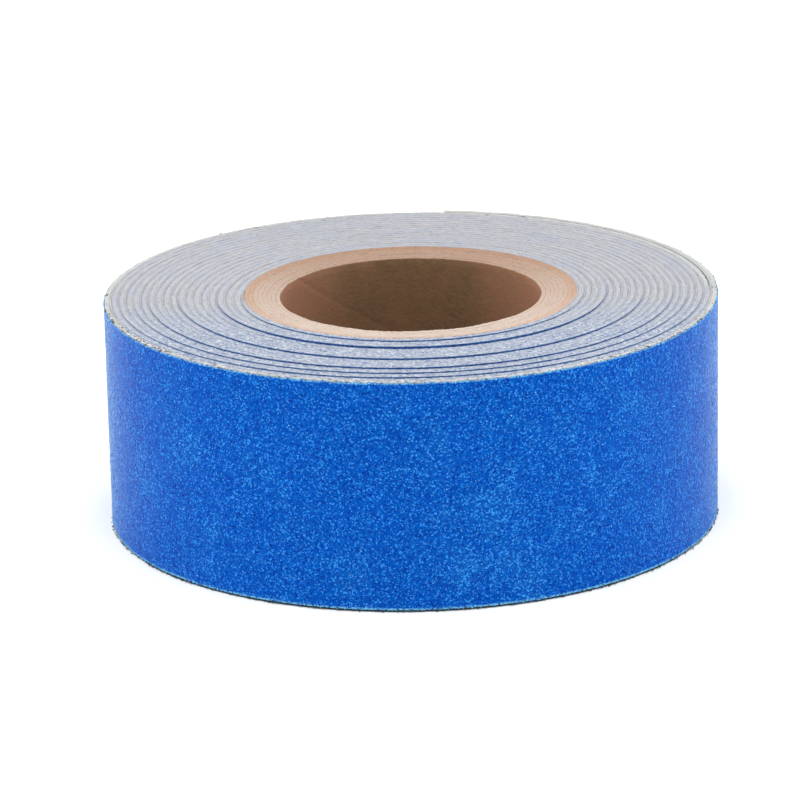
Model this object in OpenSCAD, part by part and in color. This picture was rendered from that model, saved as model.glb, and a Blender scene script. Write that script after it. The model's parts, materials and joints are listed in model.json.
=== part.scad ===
// Roll of grip tape on a paperboard core, standing on one end face.
//
// Origin: on the axis of the core, at the bottom end face of the tape.
// The winding is a two-centre spiral. Its front half-turns (y < 0) are arcs about the core's
// axis, and its back half-turns (y > 0) are arcs about a point half a pitch to the left, so each
// turn steps out by one pitch behind the core. Seen from above it grows outwards anticlockwise.
// The last stretch of tape is the tail, which unwinds: it is cut into stretches that hinge on
// each other along the tape's outer face, and its tip lifts by itself.

/* [Tape] */
// Width of the tape, which is the height of the roll
tape_w = 25.4; // [10:0.1:60]
// Thickness of the blue grip coat
coat_t = 0.12; // [0.06:0.01:0.3]
// Thickness of the backing strip
backing_t = 0.5; // [0.2:0.01:1]
// Thickness of the adhesive film
adhesive_t = 0.06; // [0.03:0.01:0.2]
// Thickness of the release liner
liner_t = 0.12; // [0.06:0.01:0.3]
// Air between one turn and the next
turn_gap = 0.02; // [0.01:0.01:0.1]
// Whole turns of tape under the last half turn
whole_turns = 18; // [2:1:30]
// How far the coat, adhesive and liner stop short of the backing's cut edges
edge_inset = 0.04; // [0:0.01:0.3]

/* [Core] */
// Diameter of the bore
bore_d = 29; // [12:0.5:80]
// Thickness of one paper ply
ply_t = 0.5; // [0.3:0.05:1]
// Number of plies in the core's wall
plies = 8; // [3:1:10]
// How far each end of the core lies inside the roll's end faces
core_recess = 0.2; // [0:0.05:1]

/* [Tail] */
// Angle from the right-hand side at which the tail leaves the winding
tail_from = 4; // [3:1:20]
// Number of hinged stretches before the tip
stretches = 8; // [2:1:9]
// Angle that one stretch covers on the roll
stretch_angle = 8.5; // [7:0.5:14]
// Angle that the tip covers on the roll
tip_angle = 11; // [8:1:20]
// Slit between one stretch and the next, along the tape
slit = 0.15; // [0.05:0.01:0.3]
// Air between the tail and the turn under it
tail_lift = 0.12; // [0.05:0.01:0.3]

/* [Hidden] */
ply_names = [
    "core_inner_ply",
    for (ply = [2:plies - 1]) str("core_ply_", ply),
    "core_outer_ply"
];
layer_names = ["release_liner", "adhesive", "backing", "grip_coat"];
layers = [0:len(layer_names) - 1];
function tail_name(stretch, layer) = str("tail_", stretch, "_", layer_names[layer]);
wound_names = [for (layer = layer_names) str("wound_", layer)];
tail_names = [for (stretch = [1:stretches]) for (layer = layers) tail_name(stretch, layer)];
tip_names = [for (layer = layer_names) str("tip_", layer)];

$fn = 96;
full_turn = 360;
half_turn = full_turn / 2;
layer_ts = [liner_t, adhesive_t, backing_t, coat_t];
layer_colors = ["#d8d2c4", "#c9cdd0", "#e4e6e4", "#1160c8"];
ply_colors = ["#8a6a45", "#cfa985", "#d2ae8c"];
BACKING = 2;
// The bore's face is dark, and the ply that the tape is stuck on is redder than the board
function ply_color(ply) = ply_colors[ply == 1 ? 0 : ply == plies ? 1 : 2];

tape_t = liner_t + adhesive_t + backing_t + coat_t;
pitch = tape_t + turn_gap;
core_r = bore_d / 2 + plies * ply_t;
back_centre = [-pitch / 2, 0, 0];
// Radius, about the back centre, of the inner face of the last turn, once it is lifted
tail_r = core_r + whole_turns * pitch + pitch / 2 + tail_lift;
// Angle of a slit, seen from the back centre
slit_angle = full_turn * slit / (2 * PI * (tail_r + tape_t));

// Inner radius of a layer, counted from the inner face of its turn: 0 is the liner
function layer_offset(layer) = layer == 0 ? 0 : layer_offset(layer - 1) + layer_ts[layer - 1];

// Inset of a layer from the cut edges
function layer_inset(layer) = layer == BACKING ? 0 : edge_inset;

// Part of a ring with a rectangular section
module band(inner_r, thickness, from, angle, inset) {
    rotate_extrude(angle = angle, start = from)
        translate([inner_r, inset])
            square([thickness, tape_w - 2 * inset]);
}

// One ply of the core: 1 is the bore's face
module core_ply(ply) {
    color(ply_color(ply))
        band(bore_d / 2 + (ply - 1) * ply_t, ply_t, 0, full_turn, core_recess);
}

// One layer of the wound tape, from the core to the place where the tail leaves
module wound_layer(layer) {
    front_r = core_r + layer_offset(layer);
    back_r = front_r + pitch / 2;
    thickness = layer_ts[layer];
    inset = layer_inset(layer);
    color(layer_colors[layer])
        union() {
            for (turn = [0:whole_turns])
                band(front_r + turn * pitch, thickness, half_turn, half_turn, inset);
            translate(back_centre) {
                for (turn = [0:whole_turns - 1])
                    band(back_r + turn * pitch, thickness, 0, half_turn, inset);
                band(back_r + whole_turns * pitch, thickness, 0, tail_from - slit_angle, inset);
            }
        }
}

// One layer of a piece of the tail, short of the next piece by the slit
module tail_layer(layer, from, angle) {
    color(layer_colors[layer])
        translate(back_centre)
            band(tail_r + layer_offset(layer), layer_ts[layer], from, angle - slit_angle, layer_inset(layer));
}

// One layer of a hinged stretch: 1 is next to the winding
module stretch_layer(stretch, layer) {
    tail_layer(layer, tail_from + (stretch - 1) * stretch_angle, stretch_angle);
}

// One layer of the tip, which lifts from the rest of the tail
module tip_layer(layer) {
    tail_layer(layer, tail_from + stretches * stretch_angle, tip_angle);
}

for (ply = [1:plies])
    core_ply(ply);
for (layer = layers)
    wound_layer(layer);
for (stretch = [1:stretches])
    for (layer = layers)
        stretch_layer(stretch, layer);
for (layer = layers)
    tip_layer(layer);
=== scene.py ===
"""Looks of the grip tape roll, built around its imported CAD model.

Lengths are in millimetres, and angles in degrees, until a mesh, a light or the camera is made.
A place on the tape is given by its winding angle: 180 where the tape starts on the core, at -X,
then growing anticlockwise from above, 360 for each turn. Across the tape it is given by w, the
distance outwards from the inner face of its turn, and by z, the height over the bottom face.
"""

import json
import math

import bpy
import numpy as np
from mathutils import Matrix, Vector


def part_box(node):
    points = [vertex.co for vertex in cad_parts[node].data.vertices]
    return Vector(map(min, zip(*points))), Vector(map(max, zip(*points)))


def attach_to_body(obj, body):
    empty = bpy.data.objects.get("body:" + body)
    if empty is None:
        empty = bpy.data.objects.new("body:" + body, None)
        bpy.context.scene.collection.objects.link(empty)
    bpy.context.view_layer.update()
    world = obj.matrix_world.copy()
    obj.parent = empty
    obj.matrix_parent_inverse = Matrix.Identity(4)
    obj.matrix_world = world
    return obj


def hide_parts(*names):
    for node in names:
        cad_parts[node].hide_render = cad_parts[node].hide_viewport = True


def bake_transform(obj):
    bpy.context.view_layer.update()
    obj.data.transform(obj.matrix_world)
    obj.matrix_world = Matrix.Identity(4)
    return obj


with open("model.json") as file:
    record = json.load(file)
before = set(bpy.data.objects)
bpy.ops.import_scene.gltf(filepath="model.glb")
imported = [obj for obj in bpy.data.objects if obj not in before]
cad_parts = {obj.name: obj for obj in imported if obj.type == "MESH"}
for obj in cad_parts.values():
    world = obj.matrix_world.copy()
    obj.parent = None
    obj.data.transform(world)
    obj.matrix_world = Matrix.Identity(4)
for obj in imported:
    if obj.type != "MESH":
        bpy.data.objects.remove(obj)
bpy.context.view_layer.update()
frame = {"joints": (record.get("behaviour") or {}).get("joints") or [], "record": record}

MM = 0.001

# The tape and its four layers, from the core outwards
LAYERS = ("release_liner", "adhesive", "backing", "grip_coat")
THICKNESS = dict(zip(LAYERS, (0.12, 0.06, 0.5, 0.12)))
TAPE_T = sum(THICKNESS.values())
TURN_GAP = 0.02
PITCH = TAPE_T + TURN_GAP
TAPE_W = 25.4
WHOLE_TURNS = 18
SLOTS = dict(zip(LAYERS, ("liner_paper", "adhesive_film", "tape_backing", "grip_coat")))

# The core
BORE_R = 14.5
PLY_T = 0.5
PLIES = 8
CORE_R = BORE_R + PLIES * PLY_T

# The tail, which unwinds
TAIL_FROM = 4.0
STRETCHES = 8
STRETCH_ANGLE = 8.5
TIP_ANGLE = 11.0

# Winding angles where the tape, its outermost turn, its tail and its tip start, and where it ends
FIRST = 180.0
OUTER = 360.0 * WHOLE_TURNS
TAIL = 360.0 * (WHOLE_TURNS + 1) + TAIL_FROM
TIP = TAIL + STRETCHES * STRETCH_ANGLE
END = TIP + TIP_ANGLE

# The tail lies a little clear of the turn under it, after a short slope where it starts
TAIL_LIFT = 0.12
TAIL_SLOPE_FROM, TAIL_SLOPE_TO = TAIL - 2.0, TAIL + 1.0

# How far each turn stands over or under the mean at the front, from the core outwards
TURN_RISES = (
    0.07, -0.06, 0.02, 0.15, -0.10, -0.06, 0.0, 0.05, 0.11, -0.08,
    -0.02, 0.04, 0.09, -0.08, 0.05, -0.08, 0.07, -0.06, 0.0,
)
# Share of that height left at the back, where the turns lie nearly level
BACK_RISE = 0.18
# The strip is cut a little narrower than the roll is high, so that its lowest turn ends at z = 0
STRIP_BOTTOM = -min(TURN_RISES)
STRIP_TOP = TAPE_W
# Height of the outermost turn's bottom edge before its rise: it reaches lower than the others'
LAST_BOTTOM = STRIP_BOTTOM - 0.08

# Angles, on the first turn, from which and to which the tape climbs over its own pressed start
CLIMB_FROM, CLIMB_TO = 168.0, 215.0
# Most that a turn is thickened to fill the way to the next
MOST_FILLED = 1.2


def climbed(turn, angle):
    """Share of the pitch that the tape has climbed at an angle, at the end of a turn.

    The first turn hugs the core until it has to climb over the tape's start. Each later one
    climbs over a longer way behind the core, and the last over the whole back half.
    """
    late = np.clip(turn / (WHOLE_TURNS - 1), 0, 1)
    start = CLIMB_FROM * (1 - late)
    end = CLIMB_TO + (180 - CLIMB_TO) * late
    return (1 - np.cos(np.pi * np.clip((angle - start) / (end - start), 0, 1))) / 2


def inner_radius(angle):
    """Radius, about the core's axis, of the tape's inner face at a winding angle."""
    turn = np.floor((angle - FIRST) / 360)
    place = angle - 360 * turn
    pitches = np.where(turn > 0, turn - 1 + climbed(turn - 1, place), 0) + climbed(turn, place - 360)
    tail_share = smooth((angle - TAIL_SLOPE_FROM) / (TAIL_SLOPE_TO - TAIL_SLOPE_FROM))
    return CORE_R + PITCH * pitches + TAIL_LIFT * tail_share


def pressed(angle):
    """Share of its thickness that the tape has, so that each turn fills the way to the next.

    It is pressed thin where it starts on the core.
    """
    room = (inner_radius(angle + 360) - inner_radius(angle)) / PITCH
    return np.where(angle < OUTER, np.clip(room, 0, MOST_FILLED), 1.0)


def arc_length(start, end):
    """Length of the tape between two winding angles, at the radius where it starts."""
    return math.radians(end - start) * float(inner_radius(np.array(start)))


def smooth(share):
    """0 before the start of a step, 1 after its end, and a smooth curve between."""
    share = np.clip(share, 0, 1)
    return share * share * (3 - 2 * share)


def rise(angle):
    """How far the strip stands over its mean height at a winding angle: most at the front."""
    at_front = FIRST + 90 + 360 * np.arange(len(TURN_RISES))
    frontness = (1 - np.sin(np.radians(angle))) / 2
    share = BACK_RISE + (1 - BACK_RISE) * smooth(frontness)
    return np.interp(angle, at_front, TURN_RISES) * share


FRAME_TOLERANCE = 0.06


def check_against_frame():
    """Stops the script if the sizes above aren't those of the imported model."""
    front = CORE_R + WHOLE_TURNS * PITCH + TAPE_T
    bore = next(m for m in frame["record"]["mounts"] if m["name"] == "core_bore")
    hinges = {j["name"]: Vector(j["pos_m"]) for j in frame["joints"]}
    first_hinge = hinges["tail_unwind"]
    tip_r = float(inner_radius(np.array(TIP))) + TAPE_T
    pairs = (
        (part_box("wound_backing")[1].z / MM, TAPE_W),
        (-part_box("wound_grip_coat")[0].y / MM, front),
        (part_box("core_outer_ply")[1].x / MM, CORE_R),
        (bore["dims"]["r_mm"], BORE_R),
        (hinges["tip_lift"].xy.length / MM, tip_r),
        (math.degrees(math.atan2(first_hinge.y, first_hinge.x)), TAIL_FROM),
    )
    for measured, stated in pairs:
        assert abs(measured - stated) < FRAME_TOLERANCE, (measured, stated)


# ---------------------------------------------------------------- meshes


def make_piece(name, points, faces, materials, face_materials=None, smooth_faces=None):
    """A mesh object from points in mm, with the material and the smoothness of each face."""
    mesh = bpy.data.meshes.new(name)
    mesh.from_pydata(np.asarray(points) * MM, [], faces)
    for material in materials:
        mesh.materials.append(material)
    if face_materials is not None:
        mesh.polygons.foreach_set("material_index", np.asarray(face_materials, np.int32))
    if smooth_faces is not None:
        mesh.polygons.foreach_set("use_smooth", smooth_faces)
    mesh.update()
    piece = bpy.data.objects.new(name, mesh)
    bpy.context.scene.collection.objects.link(piece)
    return piece


def grid_faces(rings, around, closed):
    """Quads that join rings of points. A closed grid's last ring joins its first."""
    joined = rings if closed else rings - 1
    ring, point = np.meshgrid(np.arange(joined), np.arange(around), indexing="ij")
    this_ring = ring * around
    next_ring = (ring + 1) % rings * around
    beside = (point + 1) % around
    corners = (this_ring + point, next_ring + point, next_ring + beside, this_ring + beside)
    return np.stack([c.ravel() for c in corners], 1).tolist()


def end_faces(rings, around):
    """The two faces that close the ends of a grid whose rings are closed outlines."""
    last = (rings - 1) * around
    return [list(range(around)), [last + i for i in reversed(range(around))]]


def cylinder_points(angles, radii, heights):
    """Points from winding angles, radii and heights."""
    turn = np.radians(angles)
    return np.stack([radii * np.cos(turn), radii * np.sin(turn), heights], -1)


INNER_POINTS = 4  # an outline's last points, on its inner side and its bottom


def strip_section(w_low, w_high, z_low, z_high, bevel, top_points=0, outer_points=0):
    """Outline of a strip's cross-section: up its outer side, in over its top, down and out again.

    Returns w and z of each point. Extra points can be spread over its top and its outer side.
    """
    side = np.linspace(z_low + bevel, z_high - bevel, outer_points + 2)
    top = np.linspace(w_high - bevel, w_low + bevel, top_points + 2)
    inner_w = [w_low, w_low, w_low + bevel, w_high - bevel]
    inner_z = [z_high - bevel, z_low + bevel, z_low, z_low]
    w = np.concatenate([np.full(len(side), w_high), top, inner_w])
    z = np.concatenate([side, np.full(len(top), z_high), inner_z])
    return w, z


def sweep_strip(name, angles, w, z, materials, side_faces=0):
    """A strip of the tape along its winding, from its outline's w and the z of each ring's points.

    If side_faces isn't 0, that many faces of the outline take the first material, and the rest
    the second.
    """
    shape = z.shape
    along = np.broadcast_to(angles[:, None], shape)
    radii = inner_radius(along) + w * pressed(along)
    points = cylinder_points(along, radii, z + rise(along)).reshape(-1, 3)
    faces = grid_faces(*shape, closed=False) + end_faces(*shape)
    kinds = np.zeros(len(faces), np.int32)
    if side_faces:
        kinds[:-2].reshape(-1, shape[1])[:, side_faces:] = 1
    return make_piece(name, points, faces, materials, kinds)


def even_angles(start, end, step):
    """Winding angles from start to end, a step apart along the tape, in mm."""
    length = math.radians(end - start) * float(inner_radius(np.array((start + end) / 2)))
    return np.linspace(start, end, max(3, round(length / step) + 1))


# ---------------------------------------------------------------- materials

WINDING_R = 1.4 * CORE_R  # about half-way out through the winding
# Heights between which the coat gets pale at its two cut edges
BOTTOM_FRINGE, TOP_FRINGE = (0.55, 0.32), (25.1, 25.3)
# Heights between which the outermost turn is painted dark at the floor: a painted contact shadow
CONTACT_SHADOW_HEIGHTS = (0.5, 0.35)
# y between which the dust on the cut edges gets thick towards the front, where the edges are also
# painted paler: a painted highlight
DUST_AND_HIGHLIGHT_FRONT = (-3.0, -18.0)
# y between which the core's board is painted darker and redder towards the back: painted shade on its
# far side
FAR_SIDE_SHADE = (-14.0, 14.0)
# Distance from the middle, to the left and the right, between which the bore is painted lighter and
# redder, a painted light from the sides
BORE_SIDE_LIGHT = (6.0, 14.0)


class Shader:
    """One material, and short ways to add nodes to it."""

    def __init__(self, name, **values):
        self.material = bpy.data.materials.new(name)
        self.material.use_nodes = True
        self.tree = self.material.node_tree
        self.surface = self.tree.nodes["Principled BSDF"]
        for socket, value in values.items():
            self.surface.inputs[socket.replace("_", " ")].default_value = value

    def add(self, kind, inputs, output=0, **settings):
        """Adds a node, links or sets its inputs, and returns one of its outputs."""
        node = self.tree.nodes.new("ShaderNode" + kind)
        for key, value in settings.items():
            setattr(node, key, value)
        for socket, value in inputs.items():
            self.set(node.inputs[socket], value)
        return node.outputs[output]

    def set(self, socket, value):
        if isinstance(value, bpy.types.NodeSocket):
            self.tree.links.new(value, socket)
        else:
            socket.default_value = value

    def place(self):
        return self.add("TexCoord", {}, "Object")

    def winding_place(self, along=1.0):
        """Coordinates along the winding, outwards and up, the first one shrunk by a factor."""
        place = self.place()
        parts = self.tree.nodes.new("ShaderNodeSeparateXYZ")
        self.set(parts.inputs[0], place)
        flat = self.add("CombineXYZ", {"X": parts.outputs["X"], "Y": parts.outputs["Y"]})
        radius = self.add("VectorMath", {0: flat}, "Value", operation="LENGTH")
        turn = self.add("Math", {0: parts.outputs["Y"], 1: parts.outputs["X"]}, operation="ARCTAN2")
        length = self.add("Math", {0: turn, 1: WINDING_R * MM * along}, operation="MULTIPLY")
        return self.add("CombineXYZ", {"X": length, "Y": radius, "Z": parts.outputs["Z"]})

    def across(self, axis, low, high, to_low=0.0, to_high=1.0):
        """A value that changes along one axis, from a place to another, in mm."""
        parts = self.tree.nodes.new("ShaderNodeSeparateXYZ")
        self.set(parts.inputs[0], self.place())
        return self.span(parts.outputs[axis], low * MM, high * MM, to_low, to_high)

    def noise(self, size, place=None, detail=2.0, roughness=0.5):
        """Noise from 0 to 1 whose lumps are about size mm across."""
        inputs = {"Vector": place or self.place(), "Scale": 1 / (size * MM)}
        inputs.update({"Detail": detail, "Roughness": roughness})
        return self.add("TexNoise", inputs, "Fac")

    def cells(self, size, output="Color"):
        """Cells about size mm across: a random colour for each, or the distance to its middle."""
        inputs = {"Vector": self.place(), "Scale": 1 / (size * MM)}
        return self.add("TexVoronoi", inputs, output)

    def span(self, value, low, high, to_low=0.0, to_high=1.0):
        """Maps low to high onto another span, and stops at its ends."""
        inputs = {"Value": value, "From Min": low, "From Max": high}
        inputs.update({"To Min": to_low, "To Max": to_high})
        return self.add("MapRange", inputs)

    def times(self, first, second):
        return self.add("Math", {0: first, 1: second}, operation="MULTIPLY")

    def plus(self, first, second):
        return self.add("Math", {0: first, 1: second}, operation="ADD")

    def mix(self, share, first, second):
        """Mixes two colours."""
        node = self.tree.nodes.new("ShaderNodeMix")
        node.data_type = "RGBA"
        self.set(node.inputs["Factor"], share)
        self.set(node.inputs[6], first)
        self.set(node.inputs[7], second)
        return node.outputs[2]

    def colour(self, value):
        self.set(self.surface.inputs["Base Color"], value)

    def roughness(self, value):
        self.set(self.surface.inputs["Roughness"], value)

    def bump(self, height, depth):
        """Bumps up to depth mm high."""
        normal = self.add("Bump", {"Height": height, "Distance": depth * MM, "Strength": 1.0})
        self.set(self.surface.inputs["Normal"], normal)


def linear(value):
    """The strength of a colour channel, from its 0 to 255 value on screen."""
    return ((value / 255 + 0.055) / 1.055) ** 2.4 if value > 10 else value / 255 / 12.92


def srgb(red, green, blue):
    """A colour from its 0 to 255 values on screen."""
    return linear(red), linear(green), linear(blue), 1.0


def grain_material():
    """Blue coat of fine mineral grain in a binder, rubbed paler in places and at its cut edges."""
    shader = Shader("grip_grain", Specular_IOR_Level=0.035, Sheen_Weight=1.0, Sheen_Roughness=0.1)
    shader.surface.inputs["Sheen Tint"].default_value = (0.3, 1.0, 1.0, 1.0)
    tone = shader.add("SeparateColor", {0: shader.cells(0.15)}, "Red")
    lumps = shader.noise(0.35, detail=3.0)
    worn = shader.noise(6.0, detail=5.0, roughness=0.7)
    base = shader.mix(shader.span(lumps, 0.3, 0.7), srgb(0, 59, 151), srgb(0, 86, 178))
    more_pale = shader.plus(tone, shader.span(worn, 0.5, 0.68, -0.02, 0.1))
    pale = shader.mix(shader.span(more_pale, 0.75, 1.02), base, srgb(54, 142, 220))
    dark = shader.mix(shader.span(tone, 0.25, 0.0), pale, srgb(0, 41, 124))
    rubbed = shader.mix(shader.span(worn, 0.52, 0.8, 0.0, 0.27), dark, srgb(30, 116, 180))
    fringes = {0: shader.across("Z", *BOTTOM_FRINGE), 1: shader.across("Z", *TOP_FRINGE)}
    at_edges = shader.add("Math", fringes, operation="MAXIMUM")
    frayed = shader.times(at_edges, shader.span(tone, 0.2, 0.6, 0.1, 1.0))
    shader.colour(shader.mix(frayed, rubbed, srgb(112, 184, 214)))
    shader.roughness(shader.span(tone, 0.0, 1.0, 0.26, 0.16))
    shader.bump(shader.plus(shader.noise(0.1), shader.cells(0.14, "Distance")), 0.02)
    return shader.material


def crystal_material():
    """Single grains that stand out of the coat and catch the light."""
    shader = Shader("grip_crystals", Specular_IOR_Level=0.3)
    tone = shader.noise(0.5)
    shader.colour(shader.mix(shader.span(tone, 0.35, 0.65), srgb(0, 84, 190), srgb(60, 152, 226)))
    shader.roughness(shader.span(tone, 0.3, 0.7, 0.25, 0.45))
    return shader.material


def painted_glint_crystal_material():
    """Grains painted pale as painted glints, about half of them along the cut edges."""
    shader = Shader("painted_glint_crystals", Specular_IOR_Level=0.4)
    tone = shader.noise(0.4)
    shader.colour(shader.mix(shader.span(tone, 0.35, 0.65), srgb(70, 156, 222), srgb(140, 204, 232)))
    shader.roughness(shader.span(tone, 0.3, 0.7, 0.2, 0.4))
    return shader.material


def coat_side_material():
    """The coat's face where one turn stands over the next."""
    shader = Shader("grip_coat_side", Specular_IOR_Level=0.15)
    tone = shader.noise(0.25, detail=3.0)
    shader.colour(shader.mix(shader.span(tone, 0.35, 0.7), srgb(10, 44, 100), srgb(50, 98, 164)))
    shader.roughness(shader.span(tone, 0.2, 0.8, 0.8, 0.55))
    shader.bump(tone, 0.04)
    return shader.material


def cut_edge_material(name, fresh, dusty, tinted=0.35, bloomed=0.35, smeared=0.0, painted_contact_shadow=False):
    """A strip whose cut edge shows: streaks along the winding, sprinkled with dust of the coat.

    The dust lies thickest at the front, with a bluish bloom and pale specks that are partly a
    painted highlight, the front painted paler; smeared says how much of the coat's colour is
    spread there. The last flag paints a contact shadow where the strip meets the floor.
    """
    shader = Shader(name, Specular_IOR_Level=0.2)
    streaks = shader.noise(0.14, shader.winding_place(0.08), detail=3.0)
    dust = shader.tree.nodes.new("ShaderNodeSeparateColor")
    shader.set(dust.inputs[0], shader.cells(0.24))
    clouds = shader.noise(1.6, shader.winding_place(0.3), detail=3.0)
    front_dust_and_light = shader.across("Y", *DUST_AND_HIGHLIGHT_FRONT, 0.06, 1.0)
    lined = shader.mix(shader.span(streaks, 0.35, 0.65), fresh, dusty)
    tint_share = shader.span(clouds, 0.45, 0.75, 0.0, tinted)
    tinted_edge = shader.mix(tint_share, lined, srgb(142, 152, 176))
    pale = shader.span(dust.outputs["Green"], 0.6, 1.0, 0.0, 0.6)
    bloom = shader.mix(shader.times(front_dust_and_light, bloomed), tinted_edge, srgb(128, 150, 184))
    # painted highlight: the pale dust grows towards the front, painting the front paler
    dust_and_highlight = shader.mix(shader.times(pale, front_dust_and_light), bloom, srgb(206, 212, 214))
    blue = shader.span(dust.outputs["Red"], 0.66, 1.0, 0.0, 0.9)
    specked = shader.mix(shader.times(blue, front_dust_and_light), dust_and_highlight, srgb(88, 106, 142))
    colour = shader.mix(shader.times(front_dust_and_light, smeared), specked, srgb(64, 92, 122))
    # painted contact shadow: the strip is painted dark where it meets the floor
    if painted_contact_shadow:
        colour = shader.mix(shader.across("Z", *CONTACT_SHADOW_HEIGHTS), colour, srgb(46, 58, 62))
    shader.colour(colour)
    shader.roughness(shader.span(dust.outputs["Green"], 0.2, 0.8, 0.85, 0.65))
    shader.bump(shader.plus(streaks, shader.noise(0.12)), 0.04)
    return shader.material


def board_material(name, pale, dark):
    """Pressed paperboard: short fibres round the core, darker flecks, and painted shade, darker and
    redder, at its far side.
    """
    shader = Shader(name, Specular_IOR_Level=0.2)
    fibres = shader.noise(0.12, shader.winding_place(0.18), detail=4.0, roughness=0.6)
    clouds = shader.noise(3.0, detail=3.0)
    flecks = shader.noise(0.3, detail=2.0)
    body = shader.mix(shader.span(fibres, 0.3, 0.7), pale, dark)
    cloudy = shader.mix(shader.span(clouds, 0.4, 0.7, 0.0, 0.5), body, dark)
    # painted shade: the far side of the board is painted darker and redder
    shaded_far_side = shader.mix(shader.across("Y", *FAR_SIDE_SHADE, 0.0, 0.7), cloudy, srgb(140, 106, 83))
    shader.colour(shader.mix(shader.span(flecks, 0.66, 0.76, 0.0, 0.6), shaded_far_side, srgb(120, 84, 56)))
    shader.roughness(shader.span(fibres, 0.2, 0.8, 0.95, 0.75))
    shader.bump(shader.plus(fibres, flecks), 0.08)
    return shader.material


def bore_material():
    """Dark paper in the bore, mottled, and painted lighter and redder towards its two sides: painted
    side light.
    """
    shader = Shader("bore_paper", Specular_IOR_Level=0.2)
    fibres = shader.noise(0.3, shader.winding_place(0.3), detail=4.0, roughness=0.6)
    mottle = shader.noise(3.5, detail=3.0)
    body = shader.mix(shader.span(fibres, 0.3, 0.7), srgb(118, 92, 66), srgb(98, 76, 54))
    mottled = shader.mix(shader.span(mottle, 0.42, 0.68, 0.0, 0.6), body, srgb(128, 92, 68))
    # painted light: the bore's two sides are painted lighter and redder, as if lit from the sides
    left_side_light = shader.across("X", *(-x for x in BORE_SIDE_LIGHT), 0.0, 0.8)
    right_side_light = shader.across("X", *BORE_SIDE_LIGHT, 0.0, 0.8)
    left = shader.mix(left_side_light, mottled, srgb(148, 104, 81))
    shader.colour(shader.mix(right_side_light, left, srgb(150, 106, 82)))
    shader.roughness(shader.span(fibres, 0.2, 0.8, 0.9, 0.7))
    shader.bump(shader.plus(fibres, mottle), 0.06)
    return shader.material


def speck_material(name, dark, pale):
    shader = Shader(name, Specular_IOR_Level=0.2)
    shader.colour(shader.mix(shader.noise(0.2), dark, pale))
    shader.roughness(0.85)
    return shader.material


def floor_material():
    shader = Shader("pale_floor", Roughness=0.9, Specular_IOR_Level=0.1)
    shader.colour(shader.mix(shader.noise(40.0), srgb(238, 238, 238), srgb(242, 242, 242)))
    return shader.material


# ---------------------------------------------------------------- the wound tape

# How far the liner reaches into the air under it, in the winding and under the tail
GAP_FILL, TAIL_FILL = 0.016, 0.1

# For each layer: how far its cut edges stand back, their bevel, how uneven the top one is, the
# extra points across it, and the step along the tape
EDGE_INSETS = dict(zip(LAYERS, (0.0, 0.02, 0.0, 0.01)))
EDGE_BEVELS = dict(zip(LAYERS, (0.012, 0.008, 0.03, 0.015)))
EDGE_JITTERS = dict(zip(LAYERS, (0.02, 0.02, 0.03, 0.035)))
EDGE_POINTS = dict(zip(LAYERS, (1, 1, 3, 1)))
STEPS = dict(zip(LAYERS, (0.5, 0.5, 0.34, 0.3)))
TAIL_STEP = 0.3

# Winding angles at which the winding under the outermost turn is cut into zones
MIDDLE_ZONE, OUTER_ZONE = FIRST + 7 * 360, FIRST + 12 * 360
ZONES = (
    ("inner", FIRST, MIDDLE_ZONE),
    ("middle", MIDDLE_ZONE, OUTER_ZONE),
    ("outer", OUTER_ZONE, OUTER),
)

# Seeds of the random draws. LAYER_SEEDS is the step from a layer's seeds to the next layer's
LAYER_SEEDS = 10
LAST_TURN_SEED, TAIL_SEED, CORE_SEED = 5, 100, 200
COAT_SEED, RIM_SEED, FLOOR_SEED = 7, 31, 32


def jitter(random, shape, size):
    return random.uniform(-size, size, shape)


def layer_span(layer):
    """The w at which a layer starts and ends."""
    below = sum(THICKNESS[name] for name in LAYERS[: LAYERS.index(layer)])
    return below, below + THICKNESS[layer]


def wound_strip(name, layer, start, end, materials, seed, step=None):
    """Part of one layer's strip, with an uneven cut edge at its top.

    With two materials, the first is on its outer side and the second on the rest.
    """
    random = np.random.default_rng(seed)
    low, high = layer_span(layer)
    if layer == "release_liner":
        low -= TAIL_FILL if start >= TAIL else GAP_FILL
    inset = EDGE_INSETS[layer]
    bevel = EDGE_BEVELS[layer]
    bottom = (LAST_BOTTOM if start >= OUTER else STRIP_BOTTOM) + inset
    top = STRIP_TOP - inset
    w, z = strip_section(low, high, bottom, top, bevel, top_points=EDGE_POINTS[layer])
    angles = even_angles(start, end, step or STEPS[layer])
    at_top = z > top - bevel / 2
    heights = np.repeat(z[None, :], len(angles), 0)
    heights[:, at_top] += jitter(random, (len(angles), at_top.sum()), EDGE_JITTERS[layer])
    return sweep_strip(name, angles, w, heights, materials, side_faces=len(materials) - 1)


def add_wound_layers(materials):
    """The winding under the outermost turn, and that turn's layers under the grained coat."""
    for number, layer in enumerate(LAYERS):
        seed = LAYER_SEEDS * number
        node = "wound_" + layer
        for zone, (label, start, end) in enumerate(ZONES):
            name = f"{layer}_{label}_turns"
            piece = wound_strip(name, layer, start, end, materials[layer], seed + zone)
            finish_piece(piece, "roll", SLOTS[layer], node)
        if layer != "grip_coat":
            kind = materials["last_" + layer]
            name = f"{layer}_last_turn"
            piece = wound_strip(name, layer, OUTER, TAIL, kind, seed + LAST_TURN_SEED)
            finish_piece(piece, "roll", SLOTS[layer], node)


def finish_piece(piece, body, slot, *nodes):
    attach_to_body(piece, body)
    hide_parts(*nodes)


# ---------------------------------------------------------------- the grained coat

# The outermost coat stops short of the backing's two cut edges
COAT_BOTTOM, COAT_TOP = LAST_BOTTOM + 0.24, STRIP_TOP - 0.14
COAT_BEVEL = 0.03
COAT_ARCS = 3

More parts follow.
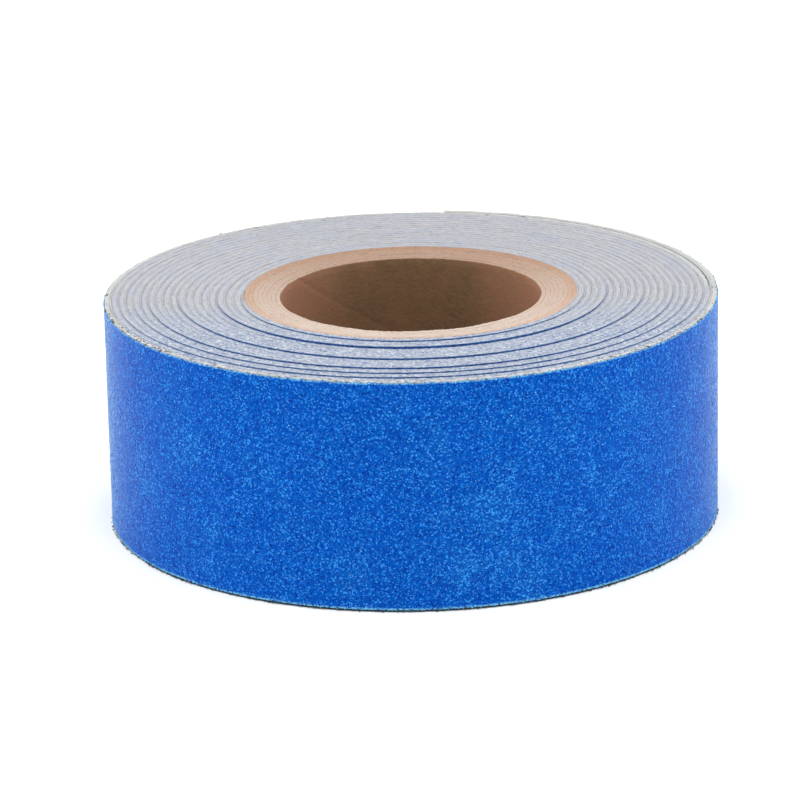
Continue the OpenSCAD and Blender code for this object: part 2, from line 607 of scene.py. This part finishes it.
# Its surface is a grid whose points are moved out, up and along at random
GRAIN_STEP = 0.2
GRAIN_ROWS = round((STRIP_TOP - STRIP_BOTTOM) / GRAIN_STEP)
GRAIN_DEPTH, LUMP_DEPTH = 0.022, 0.02
LUMP_POINTS = 9  # points of the grid from one lump to the next
SIDEWAYS = 0.3  # most that a point moves up or along, as a share of a step
TOP_ROUGHNESS = 1.5  # how much more its cut top edge moves than the surface

# Single grains that stand on it
CRYSTALS_PER_MM2 = 1.3
EDGE_CRYSTALS_PER_MM = 6.0
BOTTOM_EDGE_SHARE = 0.4
# shares of crystals painted pale as painted glints, over the coat and along its cut edges
GLINT_PAINTED_SHARE, GLINT_PAINTED_EDGE_SHARE = 0.1, 0.5
CRYSTAL_SIZES = (0.035, 0.085)
EDGE_CRYSTAL_GROWTH = 1.2
CRYSTAL_DEPTHS = (-0.04, 0.02)  # how far out of the coat's face their middles stand
EDGE_SPREAD = 0.06  # most that one at a cut edge is over or under that edge
CRYSTAL_MARGIN = 0.3  # least way along the tape to the ends of their part of the coat
CRYSTALS_FROM, CRYSTALS_TO = LAST_BOTTOM + 0.2, COAT_TOP - 0.1

OCTAHEDRON_FACES, OCTAHEDRON_POINTS = 8, 6
OCTAHEDRON_STRETCH = (0.6, 1.3)  # least and most along each of its axes


def octahedra(random, centres, sizes):
    """Small crystals: stretched octahedra turned every way. Returns their points and faces."""
    base = np.array([(1, 0, 0), (-1, 0, 0), (0, 1, 0), (0, -1, 0), (0, 0, 1), (0, 0, -1)], float)
    upper = [(0, 2, 4), (2, 1, 4), (1, 3, 4), (3, 0, 4)]
    lower = [(2, 0, 5), (1, 2, 5), (3, 1, 5), (0, 3, 5)]
    count = len(centres)
    turns, _ = np.linalg.qr(random.normal(size=(count, 3, 3)))
    turns *= np.sign(np.linalg.det(turns))[:, None, None]
    stretched = base[None] * random.uniform(*OCTAHEDRON_STRETCH, (count, 1, 3)) * sizes[:, None, None]
    points = np.einsum("nij,nkj->nki", turns, stretched) + centres[:, None, :]
    faces = np.array(upper + lower)[None] + OCTAHEDRON_POINTS * np.arange(count)[:, None, None]
    return points.reshape(-1, 3), faces.reshape(-1, 3)


def crystals(random, start, end, outer_w):
    """Crystals strewn over a part of the coat, with more along its two cut edges.

    Returns their points and faces, and the material of each face.
    """
    length = arc_length(start, end)
    strewn = round(length * TAPE_W * CRYSTALS_PER_MM2)
    at_edge = round(length * EDGE_CRYSTALS_PER_MM)
    count = strewn + at_edge
    margin = math.degrees(CRYSTAL_MARGIN / CORE_R)
    angles = random.uniform(start + margin, end - margin, count)
    heights = random.uniform(CRYSTALS_FROM, CRYSTALS_TO, count)
    edges = np.where(random.random(at_edge) < BOTTOM_EDGE_SHARE, COAT_BOTTOM, COAT_TOP)
    heights[strewn:] = edges + jitter(random, at_edge, EDGE_SPREAD)
    depths = random.uniform(*CRYSTAL_DEPTHS, count)
    sizes = random.uniform(*CRYSTAL_SIZES, count)
    sizes[strewn:] *= EDGE_CRYSTAL_GROWTH
    centres = cylinder_points(angles, inner_radius(angles) + outer_w + depths, heights + rise(angles))
    # crystals painted pale stand in for glints: painted highlights
    glint_shares = np.where(np.arange(count) < strewn, GLINT_PAINTED_SHARE, GLINT_PAINTED_EDGE_SHARE)
    pale = random.random(count) < glint_shares
    points, faces = octahedra(random, centres, sizes)
    return points, faces, np.repeat(np.where(pale, 2, 1), OCTAHEDRON_FACES)


def coat_piece(name, start, end, noise, columns, materials, random):
    """Part of the coat with its grain as geometry.

    noise holds how far each point moves out, up and along, and columns says from which to which
    of its columns this part takes.
    """
    outer_w = layer_span("grip_coat")[1]
    w, z = coat_section()
    first, last = columns
    angles = np.linspace(start, end, last - first + 1)
    depth, up, along = (field[first : last + 1] for field in noise)
    rough = len(z) - INNER_POINTS
    ring_w = np.repeat(w[None, :], len(angles), 0)
    ring_z = np.repeat(z[None, :], len(angles), 0)
    ring_w[:, :rough] += depth
    ring_z[:, 1:rough] += up[:, 1:]
    ring_z[:, GRAIN_ROWS:-2] += TOP_ROUGHNESS * up[:, :1]
    ring_angles = np.repeat(angles[:, None], len(w), 1)
    ring_angles[1:-1, :rough] += along[1:-1] * (angles[1] - angles[0])
    radii = inner_radius(ring_angles) + ring_w
    points = cylinder_points(ring_angles, radii, ring_z + rise(ring_angles)).reshape(-1, 3)
    faces = grid_faces(*ring_w.shape, closed=False) + end_faces(*ring_w.shape)
    grains, grain_faces, grain_kinds = crystals(random, start, end, outer_w)
    kinds = np.concatenate([np.zeros(len(faces), np.int32), grain_kinds])
    faces += (grain_faces + len(points)).tolist()
    return make_piece(name, np.concatenate([points, grains]), faces, materials, kinds)


def coat_section():
    """Outline of the grained coat's cross-section."""
    low, high = layer_span("grip_coat")
    counts = {"top_points": 1, "outer_points": GRAIN_ROWS - 1}
    return strip_section(low, high, COAT_BOTTOM, COAT_TOP, COAT_BEVEL, **counts)


def coat_parts():
    """Name, body before, own body, node and winding angles of each part of the grained coat."""
    arc = (TAIL - OUTER) / COAT_ARCS
    for i in range(COAT_ARCS):
        start, end = OUTER + i * arc, OUTER + (i + 1) * arc
        yield f"grip_coat_last_turn_{i + 1}", None, "roll", "wound_grip_coat", start, end
    for name, before, body, node, start, end in tail_parts():
        yield f"tail_{name}_grip_coat", before, body, f"{node}_grip_coat", start, end


def add_grained_coat(materials):
    """The outermost turn's coat and the tail's, with one noise that runs on from part to part."""
    random = np.random.default_rng(COAT_SEED)
    parts = list(coat_parts())
    counts = [round(arc_length(start, end) / GRAIN_STEP) for *_, start, end in parts]
    shape = (sum(counts) + 1, len(coat_section()[0]) - INNER_POINTS)
    lumps = low_noise(random, shape, LUMP_POINTS) * LUMP_DEPTH
    depth = jitter(random, shape, GRAIN_DEPTH) + lumps
    up = jitter(random, shape, SIDEWAYS * GRAIN_STEP)
    along = jitter(random, shape, SIDEWAYS)
    first = 0
    for (name, before, body, node, start, end), count in zip(parts, counts):
        columns = (first, first + count)
        piece = coat_piece(name, start, end, (depth, up, along), columns, materials, random)
        first += count
        attach(piece, before, body)
        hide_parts(node)


def low_noise(random, shape, spacing):
    """Smooth noise from -1 to 1 with a lump every so many points."""
    coarse = random.uniform(-1, 1, (shape[0] // spacing + 3, shape[1] // spacing + 3))
    rows, columns = (np.arange(n) / spacing for n in shape)
    row, column = rows.astype(int)[:, None], columns.astype(int)[None, :]
    down, across = smooth(rows % 1)[:, None], smooth(columns % 1)[None, :]
    top = coarse[row, column] * (1 - across) + coarse[row, column + 1] * across
    bottom = coarse[row + 1, column] * (1 - across) + coarse[row + 1, column + 1] * across
    return top * (1 - down) + bottom * down


# ---------------------------------------------------------------- the tail


def tail_parts():
    """Name, body before, own body, node and winding angles of each part of the tail."""
    before = "roll"
    for number in range(1, STRETCHES + 1):
        body = f"tail_stretch_{number}"
        start = TAIL + (number - 1) * STRETCH_ANGLE
        yield f"stretch_{number}", before, body, f"tail_{number}", start, start + STRETCH_ANGLE
        before = body
    yield "tip", before, "tape_tip", "tip", TIP, END


def attach(piece, before, body):
    """Rides a piece on its body, or, when there is a body before, only bakes its place into its
    points.
    """
    if before is None:
        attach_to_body(piece, body)
        return
    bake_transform(piece)


def add_tail(materials):
    """The tail's layers under its grained coat."""
    for number, layer in enumerate(LAYERS[:-1]):
        kind = materials["last_" + layer]
        seed = TAIL_SEED + LAYER_SEEDS * number
        for name, before, body, node, start, end in tail_parts():
            if body == "tape_tip" and layer == "release_liner":
                body = "liner_end"
            piece = wound_strip(f"tail_{name}_{layer}", layer, start, end, kind, seed, TAIL_STEP)
            attach(piece, before, body)
            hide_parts(f"{node}_{layer}")


# ---------------------------------------------------------------- the core

CORE_TOP_OUTER, CORE_TOP_BORE = 25.36, 25.1
CORE_BOTTOM = 0.12
LIP_BEVEL, PLY_BEVEL, BORE_PLY_BEVEL = 0.05, 0.03, 0.06
BORE_PLY_MIDDLE = 0.3  # from the bore to a point on the innermost ply's sawn top

# A ply's ring of outlines, and its sawn end's unevenness and longer waves
PLY_COLUMNS = 360
PLY_JITTER, PLY_WAVE = 0.025, 0.03
PLY_WAVES = 12

# The bore's ring of outlines with its rows of points, and their unevenness, at the top and inside
BORE_COLUMNS, BORE_ROWS = 480, 90
BORE_TOP_JITTER, BORE_JITTER = 0.03, 0.006
LIP_WAVE, LIP_WAVES = 0.04, 40
LIP_TORN, LIP_TEARS = 0.05, 70  # half of how far the sawn rim is torn back, and how often
SEAM_LEAD = 60.0  # height over which the bore's seam goes once round
SEAM_W, SEAM_DEPTH = 0.25, 0.1


def core_top(radius):
    """Height of the core's sawn end, which is lower at the bore."""
    return CORE_TOP_BORE + (CORE_TOP_OUTER - CORE_TOP_BORE) * (radius - BORE_R) / (CORE_R - BORE_R)


def ply_ring(name, ply, material, seed):
    """One ply of the core, with a rough sawn end and softened edges."""
    random = np.random.default_rng(seed)
    low, high = BORE_R + (ply - 1) * PLY_T, BORE_R + ply * PLY_T
    w, z = strip_section(low, high, CORE_BOTTOM, TAPE_W, PLY_BEVEL, top_points=4)
    shape = (PLY_COLUMNS, len(w))
    angles = np.linspace(0, 360, PLY_COLUMNS, endpoint=False)
    top = z > TAPE_W / 2
    uneven = jitter(random, (PLY_COLUMNS, top.sum()), PLY_JITTER)
    heights = np.repeat(z[None, :], PLY_COLUMNS, 0)
    heights[:, top] += core_top(w[top]) - TAPE_W + uneven
    heights[:, top] += PLY_WAVE * low_ring(random, PLY_COLUMNS, PLY_WAVES)[:, None]
    along = np.repeat(angles[:, None], len(w), 1)
    points = cylinder_points(along, np.broadcast_to(w, shape), heights).reshape(-1, 3)
    return make_piece(name, points, grid_faces(*shape, closed=True), [material])


def low_ring(random, count, lumps):
    """Smooth noise from -1 to 1 that joins up round a ring."""
    heights = random.uniform(-1, 1, lumps)
    place = np.arange(count) * lumps / count
    lump = place.astype(int)
    return heights[lump] + (heights[(lump + 1) % lumps] - heights[lump]) * smooth(place % 1)


def bore_section():
    """Outline of the innermost ply's cross-section: up its outer side, in, down the bore and out.

    Returns the radius and height of each point, and which points are on its sawn top and which
    in the bore.
    """
    outer = BORE_R + PLY_T
    lip = BORE_R + LIP_BEVEL
    top_radii = np.array([outer - BORE_PLY_BEVEL, BORE_R + BORE_PLY_MIDDLE, lip])
    bottom_radii = [lip, outer - BORE_PLY_BEVEL]
    bore_z = np.linspace(CORE_TOP_BORE - LIP_BEVEL, CORE_BOTTOM + LIP_BEVEL, BORE_ROWS)
    outer_z = [CORE_BOTTOM + BORE_PLY_BEVEL, core_top(outer) - BORE_PLY_BEVEL]
    radii = np.concatenate([[outer, outer], top_radii, np.full(BORE_ROWS, BORE_R), bottom_radii])
    z = np.concatenate([outer_z, core_top(top_radii), bore_z, [CORE_BOTTOM, CORE_BOTTOM]])
    bore_from = 2 + len(top_radii)
    return radii, z, slice(2, bore_from), slice(bore_from, bore_from + BORE_ROWS)


def bore_ply(name, materials, seed):
    """The innermost ply: its strip's seam runs up the bore as a helix.

    The bore takes the first material, and the rest the second.
    """
    random = np.random.default_rng(seed)
    section_radii, section_z, top, bore = bore_section()
    shape = (BORE_COLUMNS, len(section_z))
    angles = np.linspace(0, 360, BORE_COLUMNS, endpoint=False)
    past_seam = angles[:, None] - 360 * section_z[None, bore] / SEAM_LEAD
    from_seam = np.radians((past_seam + 180) % 360 - 180) * BORE_R
    seam = SEAM_DEPTH * np.exp(-((from_seam / SEAM_W) ** 2))
    radii = np.broadcast_to(section_radii, shape).copy()
    radii[:, bore] += seam + jitter(random, seam.shape, BORE_JITTER)
    lip = slice(top.stop - 1, top.stop + 2)
    radii[:, lip] += LIP_TORN * (1 + low_ring(random, BORE_COLUMNS, LIP_TEARS))[:, None]
    heights = np.broadcast_to(section_z, shape).copy()
    heights[:, top] += jitter(random, (BORE_COLUMNS, top.stop - top.start), BORE_TOP_JITTER)
    heights[:, top.stop - 1] += LIP_WAVE * low_ring(random, BORE_COLUMNS, LIP_WAVES)
    along = np.repeat(angles[:, None], shape[1], 1)
    points = cylinder_points(along, radii, heights).reshape(-1, 3)
    kinds = np.ones(shape, np.int32)
    kinds[:, bore] = 0
    in_bore = kinds.ravel() == 0
    return make_piece(name, points, grid_faces(*shape, closed=True), materials, kinds.ravel(), in_bore)


def add_core(materials):
    piece = bore_ply("core_bore_ply", [materials["bore"], materials["board"]], CORE_SEED)
    finish_piece(piece, "roll", "core_bore_paper", "core_inner_ply")
    for ply in range(2, PLIES):
        material = materials["board"] if ply < PLIES - 1 else materials["wrapper"]
        piece = ply_ring(f"core_board_ply_{ply}", ply, material, CORE_SEED + ply)
        finish_piece(piece, "roll", "core_board", f"core_ply_{ply}")
    piece = ply_ring("core_wrapper_ply", PLIES, materials["wrapper"], CORE_SEED + PLIES)
    finish_piece(piece, "roll", "core_outer_paper", "core_outer_ply")


# ---------------------------------------------------------------- small debris

# Dark specks on the rim: how many, and the middle and spread of each cluster's angle
RIM_SPECKS = ((90, 207.0, 14.0), (60, 333.0, 15.0), (60, 270.0, 40.0), (14, 120.0, 60.0))
RIM_SPECK_INSETS = (-0.03, 0.6)  # how far in from the coat's face
SMALLEST_RIM_SPECK, RIM_SPECK_GROWTH = 0.05, 0.13

# Dark specks at the floor, a painted contact shadow: how many, their angles, how far out of the coat's
# face, heights and sizes
FLOOR_SPECKS = 420
FLOOR_SPECK_ANGLES = (95, 355)
FLOOR_SPECK_OUTSETS, FLOOR_SPECK_HEIGHTS, FLOOR_SPECK_SIZES = (-0.05, 0.16), (0.1, 0.2), (0.06, 0.12)

SPECK_STRETCH = (2.0, 1.0, 0.6)  # along the tape, out and up


def add_specks(name, random, angles, w, heights, sizes, material):
    """Rough specks on the last turn, drawn out along it."""
    points, faces = octahedra(random, np.zeros((len(sizes), 3)), sizes)
    along, out, up = (points * SPECK_STRETCH).T
    places = (angles, inner_radius(angles) + w, heights)
    turns, radii, heights = (np.repeat(place, OCTAHEDRON_POINTS) for place in places)
    corners = cylinder_points(turns + np.degrees(along / radii), radii + out, heights + up)
    piece = make_piece(name, corners, faces.tolist(), [material])
    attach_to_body(piece, "roll")


def add_rim_specks(material):
    """Specks of dirt and torn paper on the rim of the last turn."""
    random = np.random.default_rng(RIM_SEED)
    clusters = [random.normal(middle, spread, number) for number, middle, spread in RIM_SPECKS]
    places = np.concatenate(clusters)
    angles = OUTER + np.mod(places, 360).clip(1, 359)
    w = TAPE_T - random.uniform(*RIM_SPECK_INSETS, len(angles))
    sizes = SMALLEST_RIM_SPECK + RIM_SPECK_GROWTH * random.random(len(angles)) ** 3
    add_specks("rim_specks", random, angles, w, STRIP_TOP + rise(angles), sizes, material)


def add_contact_shadow_specks(material):
    """Dark specks where the last turn stands on the floor, clear of the tail: a painted contact
    shadow.
    """
    random = np.random.default_rng(FLOOR_SEED)
    angles = OUTER + random.uniform(*FLOOR_SPECK_ANGLES, FLOOR_SPECKS)
    w = TAPE_T + random.uniform(*FLOOR_SPECK_OUTSETS, FLOOR_SPECKS)
    sizes = random.uniform(*FLOOR_SPECK_SIZES, FLOOR_SPECKS)
    heights = random.uniform(*FLOOR_SPECK_HEIGHTS, FLOOR_SPECKS)
    add_specks("contact_shadow_specks", random, angles, w, heights, sizes, material)


# ---------------------------------------------------------------- the studio

FOCAL_LENGTH, SENSOR = 196.5, 36.0
CLIP_NEAR, CLIP_FAR = 0.01, 20.0  # metres
CAMERA_DISTANCE = 485.2  # from the middle of the top face
CAMERA_ELEVATION = 16.1525
CAMERA_ROLL = -1.185
AIM = Vector((-1.43, 0.0, 12.73))

# Name, place, width and power of each softbox, in metres and watts
SOFTBOXES = (
    ("top_softbox", (0.0, -0.2, 0.6), 0.5, 2.2),
    ("left_softbox", (-0.8, 0.0, 0.3), 0.9, 4.8),
    ("right_softbox", (0.8, 0.0, 0.3), 0.9, 4.8),
    ("left_back_softbox", (-0.5, 0.9, 0.12), 0.5, 4.6),
    ("right_back_softbox", (0.5, 0.9, 0.12), 0.5, 4.6),
)
LIGHTS_AIM = Vector((0, 0, 0.012))  # metres
WORLD_STRENGTH = 0.87
FLOOR_REACH = 4000


def add_camera():
    data = bpy.data.cameras.new("camera")
    data.lens, data.sensor_width = FOCAL_LENGTH, SENSOR
    data.clip_start, data.clip_end = CLIP_NEAR, CLIP_FAR
    camera = bpy.data.objects.new("camera", data)
    bpy.context.scene.collection.objects.link(camera)
    tilt = math.radians(CAMERA_ELEVATION)
    away = Vector((0, -math.cos(tilt), math.sin(tilt))) * CAMERA_DISTANCE
    place = away + Vector((0, 0, TAPE_W))
    turn = (AIM - place).to_track_quat("-Z", "Y").to_matrix().to_4x4()
    roll = Matrix.Rotation(math.radians(CAMERA_ROLL), 4, "Z")
    camera.matrix_world = Matrix.Translation(place * MM) @ turn @ roll
    bpy.context.scene.camera = camera


def add_light(name, place, width, power):
    """A square softbox that faces the roll."""
    data = bpy.data.lights.new(name, "AREA")
    data.size, data.energy = width, power
    light = bpy.data.objects.new(name, data)
    bpy.context.scene.collection.objects.link(light)
    light.location = place
    light.rotation_euler = (LIGHTS_AIM - Vector(place)).to_track_quat("-Z", "Y").to_euler()


def add_floor():
    directions = ((-1, -1, 0), (1, -1, 0), (1, 1, 0), (-1, 1, 0))
    corners = FLOOR_REACH * np.array(directions)
    floor = make_piece("floor", corners, [(0, 1, 2, 3)], [floor_material()])


def add_studio():
    """A white world, the floor and the softboxes."""
    world = bpy.data.worlds.new("studio")
    world.use_nodes = True
    background = world.node_tree.nodes["Background"]
    background.inputs["Color"].default_value = (1.0, 1.0, 1.0, 1.0)
    background.inputs["Strength"].default_value = WORLD_STRENGTH
    bpy.context.scene.world = world
    add_floor()
    for softbox in SOFTBOXES:
        add_light(*softbox)
    bpy.context.scene.view_settings.view_transform = "Standard"


def tape_materials():
    """The materials of each layer, in the winding and, as last_, on the outermost turn and tail."""
    # the outermost turn's edges get a painted contact shadow at the floor
    rim = {"tinted": 0.1, "bloomed": 0.1, "painted_contact_shadow": True}
    liner = cut_edge_material("liner_edge", srgb(165, 163, 163), srgb(147, 147, 149))
    adhesive = cut_edge_material("adhesive_edge", srgb(160, 160, 162), srgb(142, 144, 148))
    backing = cut_edge_material("backing_edge", srgb(167, 166, 167), srgb(149, 150, 155))
    coat = cut_edge_material("coat_cut_edge", srgb(158, 160, 165), srgb(140, 145, 159), smeared=0.8)
    rim_liner = cut_edge_material("last_liner_edge", srgb(172, 172, 172), srgb(152, 152, 152), **rim)
    rim_glue = cut_edge_material("last_adhesive_edge", srgb(160, 161, 160), srgb(136, 138, 138), **rim)
    rim_back = cut_edge_material("last_backing_edge", srgb(182, 181, 176), srgb(160, 160, 156), **rim)
    return {
        "release_liner": [liner],
        "adhesive": [adhesive],
        "backing": [backing],
        "grip_coat": [coat_side_material(), coat],
        "last_release_liner": [rim_liner],
        "last_adhesive": [rim_glue],
        "last_backing": [rim_back],
    }


def core_materials():
    return {
        "bore": bore_material(),
        "board": board_material("core_board", srgb(192, 179, 168), srgb(176, 157, 144)),
        "wrapper": board_material("core_wrapper", srgb(192, 168, 150), srgb(176, 147, 128)),
    }


check_against_frame()
add_camera()
layer_materials = tape_materials()
add_wound_layers(layer_materials)
add_grained_coat([grain_material(), crystal_material(), painted_glint_crystal_material()])
add_tail(layer_materials)
add_core(core_materials())
add_rim_specks(speck_material("rim_dirt", srgb(50, 52, 50), srgb(118, 112, 98)))
# dark specks at the floor: a painted contact shadow
add_contact_shadow_specks(speck_material("contact_shadow_dark", srgb(30, 42, 44), srgb(64, 78, 78)))
add_studio()
